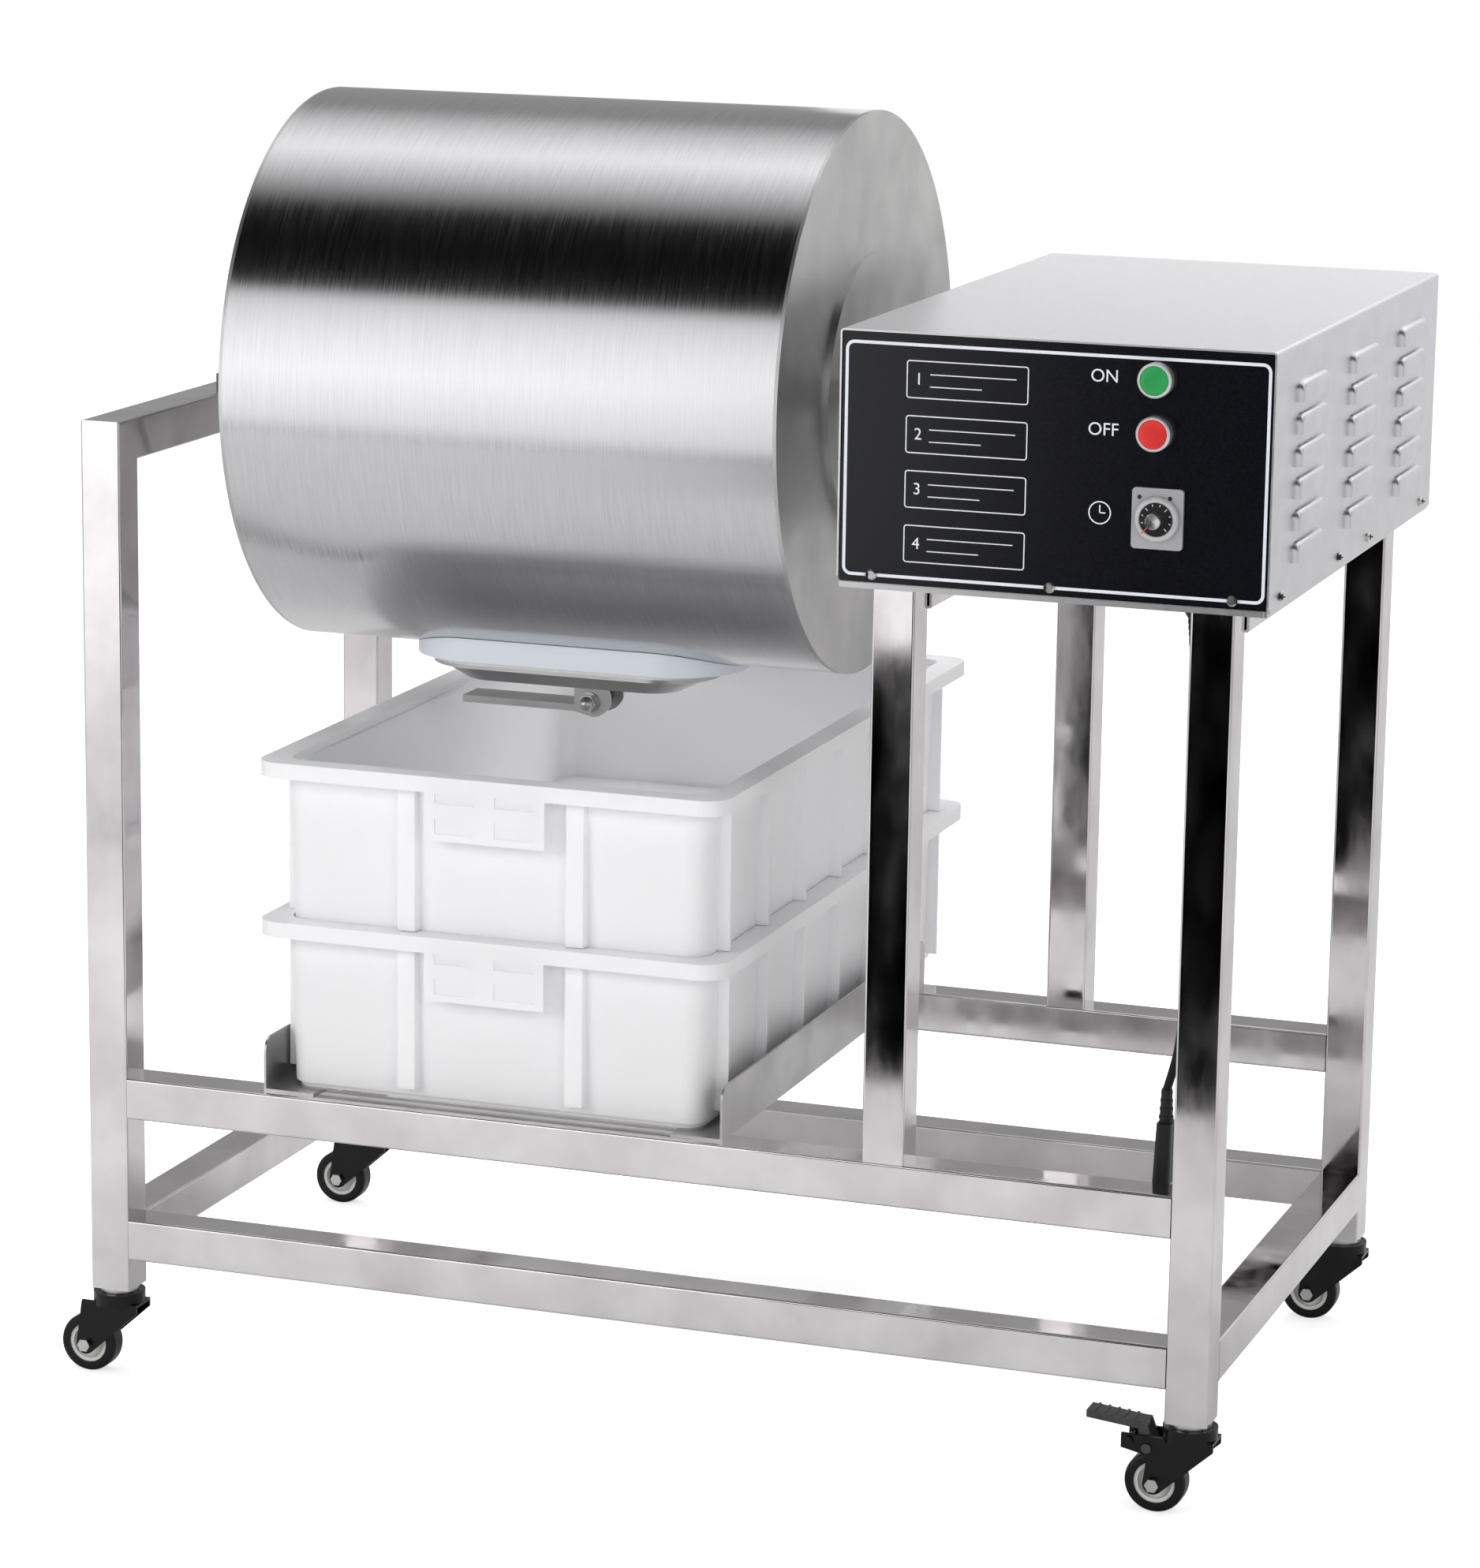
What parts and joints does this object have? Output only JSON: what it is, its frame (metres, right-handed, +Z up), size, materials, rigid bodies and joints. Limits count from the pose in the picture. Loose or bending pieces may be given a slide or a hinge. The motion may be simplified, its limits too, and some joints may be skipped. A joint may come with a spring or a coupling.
{
  "type": "meat vacuum tumbler",
  "caption": "Meat tumbler: horizontal steel drum with a bottom lid on a wheeled square-tube frame, a drive box with push buttons and timer, and stacking crates below.",
  "frame": {"origin": "on the floor, under the middle of the machine's overall box without its cord", "axes": "+Z up, +X from the open portal to the drive box along the drum's axis, +Y from the control panel's side to the back"},
  "size_m": [1.04, 0.698, 1.0762],
  "materials": {
    "frame_steel": "brushed",
    "caster_zinc": "zinc plated",
    "bearing_iron": "painted casting",
    "cover_steel": "fine brushed sheet",
    "screw_steel": "bright",
    "bezel": "bright",
    "green_button": "gloss",
    "red_button": "gloss",
    "timer_black": "moulded",
    "motor_paint": "enamel",
    "chain_steel": "oiled",
    "drum_steel": "satin rolled sheet",
    "shaft_steel": "turned",
    "neck_plastic": "moulded",
    "lid_steel": "brushed",
    "seal_rubber": "matt",
    "crate_plastic": "milky moulded",
    "cord_gland_plastic": "moulded",
    "cord_rubber": "smooth jacket",
    "plug_plastic": "moulded",
    "fork_black": "black coating",
    "hub_plastic": "moulded",
    "tyre_rubber": "smooth tread",
    "pedal_steel": "dark grey coating"
  },
  "bodies": {
    "frame": {"back_panel": "cover_steel", "bearing_shelf": "frame_steel", "box_bearers": "frame_steel", "button_bezels": "bezel", "caster_stems": "caster_zinc", "chain": "chain_steel", "control_panel": "cover_steel", "cord_gland": "cord_gland_plastic", "cord_hank": "cord_rubber", "crate_guides": "frame_steel", "drive_base": "cover_steel", "drive_cover": "cover_steel", "gear_motor": "motor_paint", "lower_rails": "frame_steel", "mid_rails": "frame_steel", "middle_legs": "frame_steel", "pan_screws": "screw_steel", "portal_legs": "frame_steel", "portal_top_bar": "frame_steel", "power_cord": "cord_rubber", "power_plug": "plug_plastic", "right_legs": "frame_steel", "shaft_bearings": "bearing_iron", "timer_body": "timer_black"},
    "start_button": {"start_button": "green_button"},
    "stop_button": {"stop_button": "red_button"},
    "timer_knob": {"timer_knob": "timer_black"},
    "motor_shaft": {"motor_sprocket": "chain_steel"},
    "drum": {"drum_shell": "drum_steel", "drum_ends": "drum_steel", "drum_shafts": "shaft_steel", "drum_baffles": "drum_steel", "drum_sprocket": "chain_steel", "mouth_neck": "neck_plastic", "neck_bridge": "lid_steel"},
    "lid": {"lid": "lid_steel", "lid_seal": "seal_rubber", "draw_bolt": "lid_steel", "lever_pin": "screw_steel"},
    "cam_lever": {"cam_lever": "lid_steel"},
    "lower_crate": {"lower_crate": "crate_plastic"},
    "upper_crate": {"upper_crate": "crate_plastic"},
    "brake_pedal": {"brake_pedal": "pedal_steel"},
    "caster_fl_swivel": {"caster_fl_fork": "fork_black", "caster_fl_bolt": "caster_zinc"},
    "caster_fl_wheel": {"caster_fl_hub": "hub_plastic", "caster_fl_tyre": "tyre_rubber"},
    "caster_fr_swivel": {"caster_fr_fork": "fork_black", "caster_fr_bolt": "caster_zinc"},
    "caster_fr_wheel": {"caster_fr_hub": "hub_plastic", "caster_fr_tyre": "tyre_rubber"},
    "caster_bl_swivel": {"caster_bl_fork": "fork_black", "caster_bl_bolt": "caster_zinc"},
    "caster_bl_wheel": {"caster_bl_hub": "hub_plastic", "caster_bl_tyre": "tyre_rubber"},
    "caster_br_swivel": {"caster_br_fork": "fork_black", "caster_br_bolt": "caster_zinc"},
    "caster_br_wheel": {"caster_br_hub": "hub_plastic", "caster_br_tyre": "tyre_rubber"}
  },
  "joints": [
    {"name": "drum_spin", "type": "hinge", "parent": "frame", "child": "drum", "pos_m": [-0.142, -0.0467, 0.8419], "axis": [1, 0, 0], "continuous": true, "deforming": ["chain"]},
    {"name": "motor_spin", "type": "hinge", "parent": "frame", "child": "motor_shaft", "pos_m": [0.211, 0.08069, 0.79], "axis": [1, 0, 0], "continuous": true},
    {"name": "lid_out", "type": "slide", "parent": "drum", "child": "lid", "axis": [0, 0, -1], "range_m": [0, 0.03]},
    {"name": "lever_open", "type": "hinge", "parent": "lid", "child": "cam_lever", "pos_m": [-0.14, -0.0467, 0.5635], "axis": [0, -1, 0], "range_deg": [0, 60]},
    {"name": "crate_pull", "type": "slide", "parent": "frame", "child": "lower_crate", "axis": [0, -1, 0], "range_m": [0, 0.25]},
    {"name": "crate_lift", "type": "slide", "parent": "lower_crate", "child": "upper_crate", "axis": [0, 0, 1], "range_m": [0, 0.015]},
    {"name": "start_push", "type": "slide", "parent": "frame", "child": "start_button", "axis": [0, 1, 0], "range_m": [0, 0.003], "stiffness_N_per_m": 400, "springref_m": -0.002},
    {"name": "stop_push", "type": "slide", "parent": "frame", "child": "stop_button", "axis": [0, 1, 0], "range_m": [0, 0.003], "stiffness_N_per_m": 400, "springref_m": -0.002},
    {"name": "timer_turn", "type": "hinge", "parent": "frame", "child": "timer_knob", "pos_m": [0.4262, -0.3367, 0.8009], "axis": [0, 1, 0], "range_deg": [0, 300]},
    {"name": "caster_fl_swivel_turn", "type": "hinge", "parent": "frame", "child": "caster_fl_swivel", "pos_m": [-0.469, -0.3117, 0.066], "axis": [0, 0, 1], "continuous": true},
    {"name": "caster_fl_wheel_turn", "type": "hinge", "parent": "caster_fl_swivel", "child": "caster_fl_wheel", "pos_m": [-0.495, -0.3117, 0.025], "axis": [0, 1, 0], "continuous": true},
    {"name": "caster_fr_swivel_turn", "type": "hinge", "parent": "frame", "child": "caster_fr_swivel", "pos_m": [0.471, -0.3117, 0.066], "axis": [0, 0, 1], "continuous": true},
    {"name": "caster_fr_wheel_turn", "type": "hinge", "parent": "caster_fr_swivel", "child": "caster_fr_wheel", "pos_m": [0.445, -0.3117, 0.025], "axis": [0, 1, 0], "continuous": true},
    {"name": "caster_bl_swivel_turn", "type": "hinge", "parent": "frame", "child": "caster_bl_swivel", "pos_m": [-0.469, 0.2183, 0.066], "axis": [0, 0, 1], "continuous": true},
    {"name": "caster_bl_wheel_turn", "type": "hinge", "parent": "caster_bl_swivel", "child": "caster_bl_wheel", "pos_m": [-0.495, 0.2183, 0.025], "axis": [0, 1, 0], "continuous": true},
    {"name": "caster_br_swivel_turn", "type": "hinge", "parent": "frame", "child": "caster_br_swivel", "pos_m": [0.471, 0.2183, 0.066], "axis": [0, 0, 1], "continuous": true},
    {"name": "caster_br_wheel_turn", "type": "hinge", "parent": "caster_br_swivel", "child": "caster_br_wheel", "pos_m": [0.445, 0.2183, 0.025], "axis": [0, 1, 0], "continuous": true},
    {"name": "brake_press", "type": "hinge", "parent": "caster_fr_swivel", "child": "brake_pedal", "pos_m": [0.439, -0.3117, 0.0545], "axis": [0, -1, 0], "range_deg": [0, 8]}
  ],
  "couplings": [
    {"joint": "motor_spin", "follows": "drum_spin", "ratio": 2}
  ]
}
